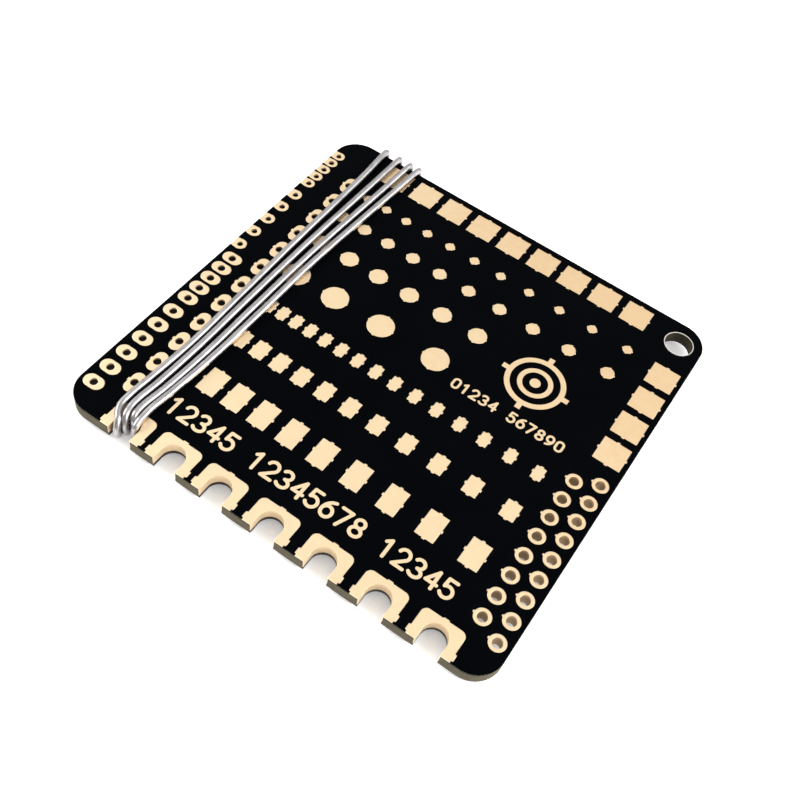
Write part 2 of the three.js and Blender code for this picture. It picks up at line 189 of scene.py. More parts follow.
def slab_outline(x, y, width, depth, radius, steps=5):
    """A rectangle about x, y with round corners, anticlockwise from its right side."""
    across = width / 2 - radius
    along = depth / 2 - radius
    return [
        *arc(x + across, y + along, radius, radius, 0, 90, steps),
        *arc(x - across, y + along, radius, radius, 90, 180, steps),
        *arc(x - across, y - along, radius, radius, 180, 270, steps),
        *arc(x + across, y - along, radius, radius, 270, 360, steps),
    ]


def box_outline(left, right, front, back):
    return [Vector(p) for p in ((left, front), (right, front), (right, back), (left, back))]


def grow(outline, distance):
    """An anticlockwise outline moved outwards by a distance, or inwards by a negative one."""
    moved = []
    for before, here, after in zip(outline[-1:] + outline[:-1], outline, outline[1:] + outline[:1]):
        arriving = (here - before).normalized()
        leaving = (after - here).normalized()
        first = Vector((arriving.y, -arriving.x))
        second = Vector((leaving.y, -leaving.x))
        moved.append(here + (first + second) * (distance / (1 + first.dot(second))))
    return moved


def area_of(outline):
    pairs = zip(outline, outline[1:] + outline[:1])
    return sum(a.x * b.y - a.y * b.x for a, b in pairs) / 2


def turning(loop, i):
    """How sharply a loop turns at its point i, in radians."""
    into = loop[i] - loop[i - 1]
    out = loop[(i + 1) % len(loop)] - loop[i]
    return abs(math.atan2(into.cross(out), into.dot(out)))


def tidied(loop, closest):
    """A loop without straight-through points, and without the duller of two points that are too close."""
    loop = [p for i, p in enumerate(loop) if turning(loop, i) > 0.001]
    i = 0
    while i < len(loop) and len(loop) > 3:
        if (loop[i] - loop[i - 1]).length < closest:
            duller = i if turning(loop, i) < turning(loop, (i - 1) % len(loop)) else (i - 1) % len(loop)
            del loop[duller]
            i = max(i - 1, 0)
        else:
            i += 1
    return loop


def joined(added, cut=(), closest=0.004):
    """The outlines of what the added outlines cover and the cut ones don't: (outer ones, holes)."""
    outlines = [*added, *cut]
    points = [p for outline in outlines for p in outline]
    spans = []
    for outline in outlines:
        first = spans[-1][-1] + 1 if spans else 0
        spans.append(list(range(first, first + len(outline))))
    places, _, faces, _, _, inside = delaunay_2d_cdt(points, [], spans, 1, 1e-6)
    sides = set()
    for face, owners in zip(faces, inside):
        if any(o < len(added) for o in owners) and not any(o >= len(added) for o in owners):
            sides.update(zip(face, face[1:] + face[:1]))
    following = {}
    for a, b in sorted(sides):
        if (b, a) not in sides:
            following.setdefault(a, []).append(b)
    outer, holes = [], []
    while following:
        start = next(iter(following))
        here, loop = start, []
        while True:
            loop.append(places[here])
            steps = following[here]
            here_next = steps.pop()
            if not steps:
                del following[here]
            here = here_next
            if here == start:
                break
        loop = tidied(loop, closest)
        if len(loop) < 3:
            continue
        if area_of(loop) > 0:
            outer.append(loop)
        else:
            holes.append(loop[::-1])
    return outer, holes


class Solid:
    """Collects a closed mesh in board millimetres from rings, the walls between them and flat caps."""

    def __init__(self):
        self.points = []
        self.faces = []

    def ring(self, outline, height):
        first = len(self.points)
        self.points += [(p[0], p[1], height) for p in outline]
        return list(range(first, len(self.points)))

    def wall(self, lower, upper, outer):
        """Faces from one ring to the next one up, looking out of an outline or into an opening."""
        count = len(lower)
        for i in range(count):
            j = (i + 1) % count
            face = (lower[i], lower[j], upper[j], upper[i])
            self.faces.append(face if outer else face[::-1])

    def cap(self, edge, openings, up):
        """A flat face inside an edge ring and outside the openings' rings."""
        rings = [edge, *openings]
        ids = [i for ring in rings for i in ring]
        spans = []
        for ring in rings:
            first = spans[-1][-1] + 1 if spans else 0
            spans.append(list(range(first, first + len(ring))))
        flat = [Vector(self.points[i][:2]) for i in ids]
        _, _, faces, came_from, _, inside = delaunay_2d_cdt(flat, [], spans, 1, 1e-7)
        for face, owners in zip(faces, inside):
            if owners == [0]:
                corners = tuple(ids[came_from[v][0]] for v in face)
                self.faces.append(corners if up else corners[::-1])

    def edge_stack(self, outline, outer, bottom, top, rim, under_rim):
        """The rings up one wall, rounded where a rim is given. Returns the lowest and the highest."""
        inwards = -1 if outer else 1
        under = [(under_rim * inset, bottom + under_rim * drop) for inset, drop in ROUND_SHARES[::-1]]
        levels = [(under_rim + SUPPORT, bottom), *under] if under_rim else [(0, bottom)]
        upper = [(rim * inset, top - rim * drop) for inset, drop in ROUND_SHARES]
        levels += [*upper, (rim + SUPPORT, top)] if rim else [(0, top)]
        rings = [self.ring(grow(outline, inwards * inset), height) for inset, height in levels]
        for lower, higher in zip(rings, rings[1:]):
            self.wall(lower, higher, outer)
        return rings[0], rings[-1]

    def plate(
        self, outline, openings, bottom, top, rim=0.0, under_rim=0.0, dips=(), dip_depth=0.0, dip_slope=0.0
    ):
        """A plate with straight openings. Dips are shallow hollows with sloping sides in its top."""
        edge = self.edge_stack(outline, True, bottom, top, rim, under_rim)
        holes = [self.edge_stack(opening, False, bottom, top, rim, under_rim) for opening in openings]
        dip_edges = []
        for dip in dips:
            high = self.ring(dip, top)
            low = self.ring(grow(dip, -dip_slope), top - dip_depth)
            self.wall(low, high, False)
            self.cap(low, [], True)
            dip_edges.append(high)
        self.cap(edge[1], [hole[1] for hole in holes] + dip_edges, True)
        self.cap(edge[0], [hole[0] for hole in holes], False)


def build(name, solid, finish, nodes, sharp=50):
    """Makes the piece from its mesh, in place of its CAD nodes."""
    mesh = bpy.data.meshes.new(name)
    mesh.from_pydata([corner + Vector(p) * MM for p in solid.points], [], solid.faces)
    mesh.materials.append(finish)
    mesh.shade_smooth()
    mesh.set_sharp_from_angle(angle=math.radians(sharp))
    piece = bpy.data.objects.new(name, mesh)
    bpy.context.scene.collection.objects.link(piece)
    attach(piece, "root")
    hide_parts(*nodes)
    return piece


class Amount:
    """A number or a colour that varies over a surface. Arithmetic on it adds the Math nodes."""

    def __init__(self, finish, socket):
        self.finish = finish
        self.socket = socket

    def maths(self, operation, left, right):
        return self.finish.node("Math", {"operation": operation}, left, right)

    def __add__(self, other):
        return self.maths("ADD", self, other)

    def __radd__(self, other):
        return self.maths("ADD", other, self)

    def __sub__(self, other):
        return self.maths("SUBTRACT", self, other)

    def __rsub__(self, other):
        return self.maths("SUBTRACT", other, self)

    def __mul__(self, other):
        return self.maths("MULTIPLY", self, other)

    def __rmul__(self, other):
        return self.maths("MULTIPLY", other, self)


class Finish:
    """A surface finish: a Principled shader and the nodes that vary it."""

    def __init__(self, name, **constants):
        self.material = bpy.data.materials.new(name)
        self.material.use_nodes = True
        self.tree = self.material.node_tree
        self.shader = self.tree.nodes["Principled BSDF"]
        self.surface(**constants)

    def put(self, socket, value):
        if isinstance(value, Amount):
            self.tree.links.new(value.socket, socket)
        else:
            socket.default_value = value

    def surface(self, **sockets):
        """Sets sockets of the shader, named with _ for a space."""
        for name, value in sockets.items():
            self.put(self.shader.inputs[name.replace("_", " ")], value)

    def node(self, kind, settings, *values, pick=None, **named):
        """Adds a node: its settings first, then its sockets in order or by name. Returns one output."""
        made = self.tree.nodes.new("ShaderNode" + kind)
        for setting, value in settings.items():
            if setting == "stops":
                ramp = made.color_ramp
                while len(ramp.elements) < len(value):
                    ramp.elements.new(1.0)
                for element, (place, colour) in zip(ramp.elements, value):
                    element.position = place
                    element.color = (*colour, 1)
            else:
                setattr(made, setting, value)
        for socket, value in zip(made.inputs, values):
            self.put(socket, value)
        for name, value in named.items():
            names = (name, name.replace("_", " "))
            self.put(next(s for s in made.inputs if s.identifier in names or s.name in names), value)
        if pick:
            return Amount(self, made.outputs[pick])
        return Amount(self, next(o for o in made.outputs if o.enabled))

    def millimetres(self, x=1.0, y=1.0, z=1.0):
        """The place on the object in millimetres, stretched along each way."""
        place = self.node("TexCoord", {}, pick="Object")
        return self.node("VectorMath", {"operation": "MULTIPLY"}, place, (x / MM, y / MM, z / MM))

    def noise(self, where, scale, detail=2.0, roughness=0.5):
        return self.node("TexNoise", {}, Vector=where, Scale=scale, Detail=detail, Roughness=roughness)

    def mixed(self, factor, first, second):
        """A colour between two, each fixed or varying."""
        ends = [end if isinstance(end, Amount) else (*end, 1) for end in (first, second)]
        settings = {"data_type": "RGBA"}
        return self.node("Mix", settings, Factor_Float=factor, A_Color=ends[0], B_Color=ends[1])

    def ramp(self, value, start, end, first, last):
        """Runs from first to last while the value runs from start to end."""
        ends = {"From_Min": start, "From_Max": end, "To_Min": first, "To_Max": last}
        return self.node("MapRange", {}, Value=value, pick="Result", **ends)

    def height(self):
        """Height over the board's underside, in millimetres."""
        return self.node("SeparateXYZ", {}, self.millimetres(), pick="Z") - corner.z / MM

    def bumps(self, height, strength, distance):
        """Small relief of a height map, with its full depth in metres."""
        return self.node("Bump", {}, Strength=strength, Distance=distance, Height=height)


LACQUER_RUN = (0.24, 0.12)  # how far down the cut edge the black lacquer fades out


def laminate_finish():
    """Cut edge of glass cloth in epoxy: thin plies, dust in the cut, painted shade in the screw hole and a
    speckled painted highlight on the right side.
    """
    finish = Finish("cut_laminate", Roughness=0.8, Specular_IOR_Level=0.25)
    plies = finish.noise(finish.millimetres(0.35, 0.35, 9.0), 1.0, 2.0, 0.55)
    threads = finish.noise(finish.millimetres(2.4, 2.4, 16.0), 1.0, 3.0, 0.6)
    grains = finish.noise(finish.millimetres(), 11.0, 2.0, 0.7)
    olives = [(0.28, (0.038, 0.030, 0.016)), (0.5, (0.088, 0.073, 0.041)), (0.72, (0.18, 0.155, 0.095))]
    tone = finish.node("ValToRGB", {"stops": olives}, plies * 0.55 + threads * 0.3 + grains * 0.15)
    height = finish.height()
    lacquer = finish.ramp(height, CORE_TOP - LACQUER_RUN[0], CORE_TOP - LACQUER_RUN[1], 0.0, 0.85)
    bore = finish.millimetres(1.0, 1.0, 0.0)
    screw_hole = (*(corner.xy / MM + Vector(SCREW_HOLE)), 0)
    from_bore = finish.node("VectorMath", {"operation": "DISTANCE"}, bore, screw_hole, pick="Value")
    # Painted shade: the wall of the screw hole is painted darker, and shade joins it to the black lacquer
    # band.
    screw_hole_shade = finish.ramp(from_bore, SCREW_HOLE_RADIUS + 0.05, SCREW_HOLE_RADIUS + 0.3, 0.7, 0.0)
    shade = finish.node("Math", {"operation": "MAXIMUM"}, lacquer, screw_hole_shade)
    bare_top = finish.ramp(height, CORE_TOP - 0.006, CORE_TOP - 0.002, 0.0, 1.0)
    # Painted highlight: the right side is painted pale grey, with dark speckles, for the light from the
    # right.
    across = finish.node("SeparateXYZ", {}, finish.millimetres(), pick="X") - corner.x / MM
    lit_right_side = finish.ramp(across, SIDE - 0.03, SIDE - 0.01, 0.0, 1.0)
    speckles = finish.noise(finish.millimetres(1.0, 1.6, 2.6), 1.5, 3.0, 0.65)
    painted_light_share = finish.ramp(speckles, 0.4, 0.52, 0.0, 1.0)
    speckled_highlight = finish.mixed(painted_light_share, (0.03, 0.026, 0.02), (0.46, 0.44, 0.42))
    cut = finish.mixed(shade, finish.mixed(lit_right_side, tone, speckled_highlight), (0.008, 0.006, 0.004))
    finish.surface(
        Base_Color=finish.mixed(bare_top, cut, (0.6, 0.57, 0.5)),
        Roughness=0.62 + grains * 0.3,
        Normal=finish.bumps(plies * 0.6 + threads * 0.4, 0.7, 0.00004),
    )
    return finish.material


HEADER_HOLE_RADIUS = 0.53
EDGE_HOLE = (0.78, 0.34)  # x and radius of the small eyelets at the left edge
OVAL_HOLE = (1.5, 0.42)
INNER_HOLE = (4.58, 0.43)
INNER_HOLE_COUNT = 12
HEADER_NODES = [f"header_outer_eyelet_{i}" for i in range(1, 10)]
HEADER_NODES += [f"header_inner_eyelet_{i}" for i in range(1, 9)]
EDGE_NODES = [f"edge_eyelet_{i}" for i in range(1, 11)]
OVAL_NODES = [f"oval_eyelet_{i}" for i in range(1, 12)]
NOTCH_NODES = [f"plated_notch_{i}" for i in range(1, NOTCH_COUNT + 1)]

notch_centres = [node_place(node)[0].x for node in NOTCH_NODES]
inner_low, inner_high = node_place("inner_oval_eyelets")[1:]
INNER_LAND = (1.4, 2.58)
inner_first = inner_high.y - INNER_LAND[1] / 2
inner_pitch = (inner_high.y - inner_low.y - INNER_LAND[1]) / (INNER_HOLE_COUNT - 1)
inner_places = [(INNER_HOLE[0], inner_first - i * inner_pitch) for i in range(INNER_HOLE_COUNT)]
header_places = [tuple(node_place(node)[0].xy) for node in HEADER_NODES]
edge_places = [(EDGE_HOLE[0], node_place(node)[0].y) for node in EDGE_NODES]
oval_places = [(OVAL_HOLE[0], node_place(node)[0].y) for node in OVAL_NODES]


def slot_outline(x, radius, steps=24):
    """The round-ended slot of a notch, reaching out past the front edge, anticlockwise."""
    return [
        Vector((x - radius, -1.0)),
        Vector((x + radius, -1.0)),
        *arc(x, NOTCH_ARC_Y, radius, radius, 0, 180, steps),
    ]


def blank_outline():
    """The bare board's outline."""
    return slab_outline(SIDE / 2, SIDE / 2, SIDE, SIDE, CORNER_RADIUS, CORNER_STEPS)


drilled = [disc(x, y, radius + DRILL_CLEARANCE, 32) for x, y, radius in [
    *((x, y, HEADER_HOLE_RADIUS) for x, y in header_places),
    *((x, y, EDGE_HOLE[1]) for x, y in edge_places),
    *((x, y, OVAL_HOLE[1]) for x, y in oval_places),
    *((x, y, INNER_HOLE[1]) for x, y in inner_places),
]]
routed = [slot_outline(x, NOTCH_RADIUS + DRILL_CLEARANCE) for x in notch_centres]
core_edge, _ = joined([blank_outline()], routed)
core = Solid()
core.plate(core_edge[0], [*drilled, disc(*SCREW_HOLE, SCREW_HOLE_RADIUS, 64)], CORE_BOTTOM, CORE_TOP)
build("laminate_core", core, laminate_finish(), ["fr4_core"], sharp=25)

# ---- Gold lands: shapes -----------------------------------------------------------------------------
# Every land is copper under nickel and a flash of gold, left bare by an opening in the mask. Each pad
# is tied to the copper all round it by short spokes, whose ends show as small tabs on its sides.
LAND_TOP = FACE - 0.008  # a bare land stands a little lower than the mask round it
LAND_RIM = 0.016
TAB_WIDTH = 0.32
TAB_PROUD = 0.14
MASK_GAP = 0.03
ROUND_TAB_WIDTH = 0.23
ROUND_TAB_PROUD = 0.08
MOAT_IN = 0.12  # the copper round a pad starts beyond a narrow moat
MOAT_OUT = 0.36
SIDES = ((1, 0), (0, 1), (-1, 0), (0, -1))


def tabs(x, y, reach_x, reach_y, sides=SIDES, proud=TAB_PROUD, width=TAB_WIDTH):
    """Spoke ends on the named sides of a land that reaches so far from x, y."""
    made = []
    for across, along in sides:
        reach = reach_x if across else reach_y
        middle = Vector((x + across * (reach - proud), y + along * (reach - proud)))
        size = (4 * proud, width) if across else (width, 4 * proud)
        made.append(slab_outline(*middle, *size, 0.05, 3))
    return made


class Land:
    """One bare land: its outline with tabs, its hole if it has one, and the moat round it."""

    def __init__(
        self, shape, x, y, reach_x, reach_y, sides=SIDES, hole=None, proud=TAB_PROUD, width=TAB_WIDTH
    ):
        self.outline = joined([shape(0), *tabs(x, y, reach_x, reach_y, sides, proud, width)])[0][0]
        self.hole = hole
        spokes = tabs(x, y, reach_x + MOAT_OUT, reach_y + MOAT_OUT, sides, MOAT_OUT, TAB_WIDTH + 0.1)
        self.moat = joined([shape(MOAT_OUT)], [shape(MOAT_IN), *spokes], 0.06)[0] if sides else []


def round_land(x, y, radius, sides=SIDES, hole=None, proud=TAB_PROUD):
    def shape(margin):
        return disc(x, y, radius + margin)

    return Land(shape, x, y, radius, radius, sides, hole, proud, ROUND_TAB_WIDTH)


def square_land(x, y, width, depth, moat_reach=MOAT_OUT):
    def shape(margin):
        margin = min(margin, moat_reach)
        return slab_outline(x, y, width + 2 * margin, depth + 2 * margin, 0.06 + max(margin, 0))

    return Land(shape, x, y, width / 2, depth / 2)


def shrinking_row(node, width, ratio, count):
    """Places along a row that starts at the right and whose steps shrink by a ratio each time."""
    _, low, high = node_place(node)
    right = high.x - width / 2
    run = high.x - low.x - width
    first_step = run * (1 - ratio) / (1 - ratio ** (count - 1))
    return [right - first_step * (1 - ratio**i) / (1 - ratio) for i in range(count)]


pad_rows = {}
SQUARE_PAD = 3.1
back_middle, back_low, back_high = node_place("square_pads_back")
back_pitch = (back_high.x - back_low.x - SQUARE_PAD) / 8
pad_rows["square_pads_back"] = [
    square_land(back_low.x + SQUARE_PAD / 2 + i * back_pitch, back_middle.y, SQUARE_PAD, SQUARE_PAD)
    for i in range(9)
]
right_middle, right_low, right_high = node_place("square_pads_right")
right_pitch = (right_high.y - right_low.y - SQUARE_PAD) / 3
pad_rows["square_pads_right"] = [
    square_land(right_middle.x, right_low.y + SQUARE_PAD / 2 + i * right_pitch, SQUARE_PAD, SQUARE_PAD)
    for i in range(4)
]
for node, diameter, ratio, count in (
    ("round_pads_small", 1.1, 0.943, 11),
    ("round_pads_medium", 1.55, 0.945, 10),
    ("round_pads_large", 2.1, 0.954, 6),
    ("round_pads_largest", 3.05, 0.861, 4),
):
    y = node_place(node)[0].y
    row = shrinking_row(node, diameter, ratio, count)
    pad_rows[node] = [round_land(x, y, diameter / 2, proud=ROUND_TAB_PROUD) for x in row]
for node, width, depth, ratio, count, moat_reach in (
    ("chip_pads_small", 1.1, 1.65, 0.95, 15, 0.27),
    ("chip_pads_medium", 1.6, 2.15, 0.938, 11, MOAT_OUT),
    ("chip_pads_large", 2.1, 3.1, 0.938, 9, MOAT_OUT),
):
    y = node_place(node)[0].y
    row = shrinking_row(node, width, ratio, count)
    pad_rows[node] = [square_land(x, y, width, depth, moat_reach) for x in row]

HEADER_LAND_RADIUS = 0.875
LEFT_TAB = ((-1, 0),)
header_lands = [
    round_land(x, y, HEADER_LAND_RADIUS, LEFT_TAB, disc(x, y, HEADER_HOLE_RADIUS, 32))
    for x, y in header_places
]


def inner_land(x, y):
    def shape(margin):
        width = INNER_LAND[0] + 2 * margin
        return slab_outline(x, y, width, INNER_LAND[1] + 2 * margin, width / 2 - 0.001, 12)

    hole = disc(x, y, INNER_HOLE[1], 32)
    return Land(shape, x, y, INNER_LAND[0] / 2, INNER_LAND[1] / 2, LEFT_TAB, hole)


def oval_land(node, x, y):
    _, low, high = node_place(node)
    depth = high.y - low.y

    def shape(margin):
        width = high.x - low.x + 2 * margin
        return slab_outline(x, y, width, depth + 2 * margin, depth / 2 + margin - 0.001, 12)

    return Land(shape, x, y, 0, 0, (), disc(x, y, OVAL_HOLE[1], 32))


def edge_land(node, x, y):
    _, low, high = node_place(node)
    half_depth = (high.y - low.y) / 2

    def shape(margin):
        square_end = half_depth - 0.1 + margin
        return [
            Vector((0.02, y - square_end)),
            *arc(x, y, high.x - x + margin, half_depth + margin, -90, 90, 24),
            Vector((0.02, y + square_end)),
        ]

    return Land(shape, x, y, 0, 0, (), disc(x, y, EDGE_HOLE[1], 32))


inner_lands = [inner_land(x, y) for x, y in inner_places]
oval_lands = [oval_land(node, x, y) for node, (x, y) in zip(OVAL_NODES, oval_places)]
edge_lands = [edge_land(node, x, y) for node, (x, y) in zip(EDGE_NODES, edge_places)]

NOTCH_LAND_WIDTH = 4.65
NOTCH_LAND_DEPTH = 3.17
NOTCH_LAND_CORNER = 0.62
NOTCH_TAB = (0.6, 0.7, 0.2)  # middle and length along a side tab, and how proud it is
NOTCH_BACK_TAB = (0.6, 0.12)


def notch_land(x, margin=0.0):
    """A notch's land with its tabs, cut off at the front edge and open at the slot."""
    width = NOTCH_LAND_WIDTH + 2 * margin
    depth = NOTCH_LAND_DEPTH + margin
    body = slab_outline(x, 0, width, 2 * depth, NOTCH_LAND_CORNER, 10)
    middle, length, proud = NOTCH_TAB
    side = slab_outline(x, middle, width + 2 * proud, length + 2 * margin, 0.08, 3)
    back_width, back_proud = NOTCH_BACK_TAB
    back = slab_outline(x, depth, back_width + 2 * margin, 2 * back_proud, 0.05, 3)
    front = box_outline(x - 5, x + 5, -5, 0.015)
    return joined([body, side, back], [slot_outline(x, NOTCH_RADIUS), front])[0][0]


# ---- Front numerals and target ----------------------------------------------------------------------
# Plain marks left bare in the mask like the pads: a run of numerals along the front, a smaller run and
# a round aiming target in the bare area at the right.
NUMERAL_WIDTH = 0.6  # shares of a numeral's height
NUMERAL_STROKES = {
    "0": [slab_outline(0.3, 0.5, 0.6, 1.0, 0.295, 8) + [Vector((0.6, 0.705))]],
    "1": [[Vector((0.08, 0.8)), Vector((0.32, 1.0)), Vector((0.32, 0.0))]],
    "2": [[*arc(0.3, 0.7, 0.3, 0.3, 165, -38, 12), Vector((0.0, 0.0)), Vector((0.6, 0.0))]],
    "3": [[*arc(0.28, 0.75, 0.27, 0.25, 150, -90, 12), *arc(0.28, 0.25, 0.32, 0.25, 90, -150, 12)]],
    "4": [[Vector((0.46, 0.0)), Vector((0.46, 1.0)), Vector((0.0, 0.3)), Vector((0.62, 0.3))]],
    "5": [
        [
            Vector((0.56, 1.0)),
            Vector((0.1, 1.0)),
            Vector((0.06, 0.56)),
            *arc(0.28, 0.32, 0.32, 0.32, 120, -150, 14),
        ]
    ],
    "6": [
        [
            Vector((0.5, 0.98)),
            *arc(0.6, 0.32, 0.6, 0.66, 120, 180, 6),
            *arc(0.3, 0.32, 0.3, 0.32, 180, 540, 20),
        ]
    ],
    "7": [[Vector((0.0, 1.0)), Vector((0.6, 1.0)), Vector((0.18, 0.0))]],
    "8": [arc(0.3, 0.76, 0.25, 0.24, -90, 270, 18), arc(0.3, 0.26, 0.3, 0.26, 90, 450, 18)],
    "9": [
        [
            Vector((0.1, 0.02)),
            *arc(0.0, 0.68, 0.6, 0.66, -60, 0, 6),
            *arc(0.3, 0.68, 0.3, 0.32, 0, 360, 20),
        ]
    ],
}
FRONT_RUN = ("12345 12345678 12345", 8.9, 42.3, 4.65, 2.28, 0.36)
SMALL_RUN = ("01234 567890", 29.5, 42.8, 25.1, 1.45, 0.26)
TARGET_PLACE = (36.4, 31.2)
TARGET_RINGS = ((3.35, 2.75), (1.95, 1.4))
TARGET_DOT = 0.6
TARGET_TICK = (3.0, 4.0, 0.62)  # from and to along each arm, and its width


def brushed(points, width):
    """The outlines of one stroke of a round brush: a box for each stretch and a disc at each point."""
    outlines = [disc(p.x, p.y, width / 2, 16) for p in points]
    for start, end in zip(points, points[1:]):
        if (end - start).length < 1e-6:
            continue
        side = (end - start).normalized().orthogonal() * (width / 2)
        outlines.append([start - side, start + side, end + side, end - side])
    return [o if area_of(o) > 0 else o[::-1] for o in outlines]


def numerals(run, left, right, front, height, width):
    """Lands for a run of numerals that fills the stretch from left to right."""
    pitch = (right - left - NUMERAL_WIDTH * height) / (len(run) - 1)
    shapes = []
    for place, numeral in enumerate(run):
        if numeral == " ":
            continue
        outlines = []
        for stroke in NUMERAL_STROKES[numeral]:
            inner = height - width
            at = Vector((left + place * pitch, front + width / 2))
            outlines += brushed([at + p * inner for p in stroke], width)
        shapes.append(joined(outlines))
    return shapes


front_numerals = numerals(*FRONT_RUN)
small_numerals = numerals(*SMALL_RUN)
x, y = TARGET_PLACE
near, far, arm_width = TARGET_TICK
target_arms = [
    box_outline(x - far, x - near, y - arm_width / 2, y + arm_width / 2),
    box_outline(x + near, x + far, y - arm_width / 2, y + arm_width / 2),
    box_outline(x - arm_width / 2, x + arm_width / 2, y - far, y - near),
    box_outline(x - arm_width / 2, x + arm_width / 2, y + near, y + far),
]
target = [
    joined([disc(x, y, TARGET_RINGS[0][0], 72), *target_arms], [disc(x, y, TARGET_RINGS[0][1], 64)]),
    joined([disc(x, y, TARGET_RINGS[1][0], 48)], [disc(x, y, TARGET_RINGS[1][1], 48)]),
    ([disc(x, y, TARGET_DOT, 32)], []),
]
MARKS = {"front_numerals": front_numerals, "small_numerals": small_numerals, "aiming_target": target}

# ---- Solder masks -----------------------------------------------------------------------------------
# A black lacquer over both faces, printed and cured, open round every land. It follows the copper under
# it, so a shallow moat shows round each pad where the copper stops.
MOAT_DEPTH = 0.022
MOAT_SLOPE = 0.045
MASK_HOLE_RADIUS = 1.7


def mask_finish():
    """Cured black lacquer: nearly black, satin, with a faint orange peel and the cloth just telling."""
    finish = Finish("black_mask", Specular_IOR_Level=0.012)
    cloud = finish.noise(finish.millimetres(), 0.16, 2.0)
    peel = finish.noise(finish.millimetres(), 3.2, 3.0, 0.6)
    cloth = finish.noise(finish.millimetres(2.2, 2.2, 1.0), 1.0, 1.0)
    finish.surface(
        Base_Color=finish.mixed(cloud, (0.0003, 0.0005, 0.0009), (0.0009, 0.0012, 0.0018)),
        Roughness=0.36 + peel * 0.14,
        Normal=finish.bumps(peel * 0.6 + cloth * 0.4, 0.25, 0.000012),
    )
    return finish.material


def mark_openings(shapes, margin):
    """Where the mask is open round marks: their outlines grown, and the islands of mask inside them."""
    outer = [grow(o, margin) for outers, _ in shapes for o in outers]
    islands = [grow(hole, -margin) for _, holes in shapes for hole in holes]
    return outer, islands


def holds(outline, point):
    """Whether a point lies inside an outline."""
    crossings = 0
    for a, b in zip(outline, outline[1:] + outline[:1]):
        if (a.y > point.y) != (b.y > point.y):
            crossings += point.x < a.x + (b.x - a.x) * (point.y - a.y) / (b.y - a.y)
    return crossings % 2 == 1


black_mask = mask_finish()
all_lands = [land for lands in pad_rows.values() for land in lands]
all_lands += header_lands + inner_lands + oval_lands
openings = [grow(land.outline, MASK_GAP) for land in all_lands]
moats = [moat for land in all_lands for moat in land.moat]
mask_islands = []
for shapes in MARKS.values():
    opened, islands = mark_openings(shapes, 0.012)
    openings += opened
    mask_islands += islands
top_edge, _ = joined(
    [blank_outline()],
    [grow(notch_land(x), MASK_GAP) for x in notch_centres]
    + [slot_outline(x, NOTCH_RADIUS + MASK_GAP) for x in notch_centres]
    + [box_outline(-1, 0.3, y - 0.6, y + 0.6) for _, y in edge_places]
    + [grow(land.outline, MASK_GAP) for land in edge_lands],
)
top_edge.sort(key=area_of)
islands = [*top_edge[:-1], *mask_islands]
island_openings = [[o for o in openings if holds(island, o[0])] for island in islands]
main_openings = [o for o in openings if not any(o in inner for inner in island_openings)]
mask = Solid()
mask.plate(
    top_edge[-1], [*main_openings, disc(*SCREW_HOLE, MASK_HOLE_RADIUS, 64)], CORE_TOP, FACE,
    dips=moats, dip_depth=MOAT_DEPTH, dip_slope=MOAT_SLOPE,
)
for island, inner in zip(islands, island_openings):
    mask.plate(island, inner, CORE_TOP, FACE)
build("mask_top", mask, black_mask, ["solder_mask_top"], sharp=8)

# On the underside every barrel ends in a plain ring of gold, this much wider than its hole.
HEADER_RING = 0.34
OVAL_RING = 0.27
EDGE_RING = 0.2
NOTCH_RING = 0.5
NOTCH_RING_GAP = 0.05
under_rings = (
    [(x, y, HEADER_HOLE_RADIUS, HEADER_RING) for x, y in header_places]
    + [(x, y, OVAL_HOLE[1], OVAL_RING) for x, y in oval_places]
    + [(x, y, INNER_HOLE[1], OVAL_RING) for x, y in inner_places]
    + [(x, y, EDGE_HOLE[1], EDGE_RING) for x, y in edge_places]
)
under_slots = [slot_outline(x, NOTCH_RADIUS + NOTCH_RING + NOTCH_RING_GAP) for x in notch_centres]
under_edge, _ = joined([blank_outline()], under_slots)
under_mask = Solid()
under_mask.plate(
    under_edge[0],
    [disc(x, y, radius + ring + MASK_GAP, 40) for x, y, radius, ring in under_rings]
    + [disc(*SCREW_HOLE, MASK_HOLE_RADIUS, 64)],
    0, CORE_BOTTOM,
)
build("mask_underside", under_mask, black_mask, ["solder_mask_bottom"], sharp=8)

# ---- Gold: bare pads and marks ----------------------------------------------------------------------
# Flat copper lands with a pale gold flash. The plating has a fine grain and is never quite even, so it
# runs from straw to a faint pink, and the etched edges are a little rounded.
# A painted highlight: the gold is painted paler towards the front left.
HIGHLIGHT_WAY = (-0.01, -0.012, 0)  # the gold pales towards the front left


